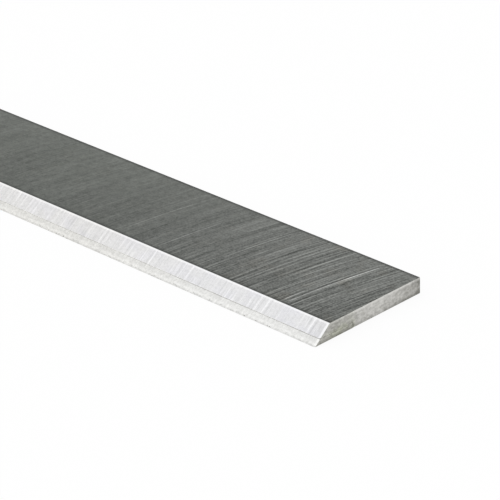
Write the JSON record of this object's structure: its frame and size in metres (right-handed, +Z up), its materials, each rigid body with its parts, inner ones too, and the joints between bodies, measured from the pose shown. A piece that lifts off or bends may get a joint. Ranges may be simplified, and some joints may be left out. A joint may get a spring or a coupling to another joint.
{
  "type": "laid planer knife",
  "caption": "Long flat steel knife for a planer cutterhead, with a bevelled cutting edge and a hard strip brazed into a rebate along its flat face.",
  "frame": {"origin": "middle of the footprint, on the plane of the flat face that the knife lies on", "axes": "+X along the knife towards the end that the picture shows, -Y towards the cutting edge, +Z up out of the face behind the bevel"},
  "size_m": [0.381, 0.0254, 0.003],
  "materials": {
    "body_steel": "cross-ground, dark flat faces and a bright ground bevel",
    "strip_steel": "fine ground, bright, slightly warm"
  },
  "bodies": {
    "root": {"knife_body": "body_steel", "cutting_strip": "strip_steel"}
  },
  "joints": []
}
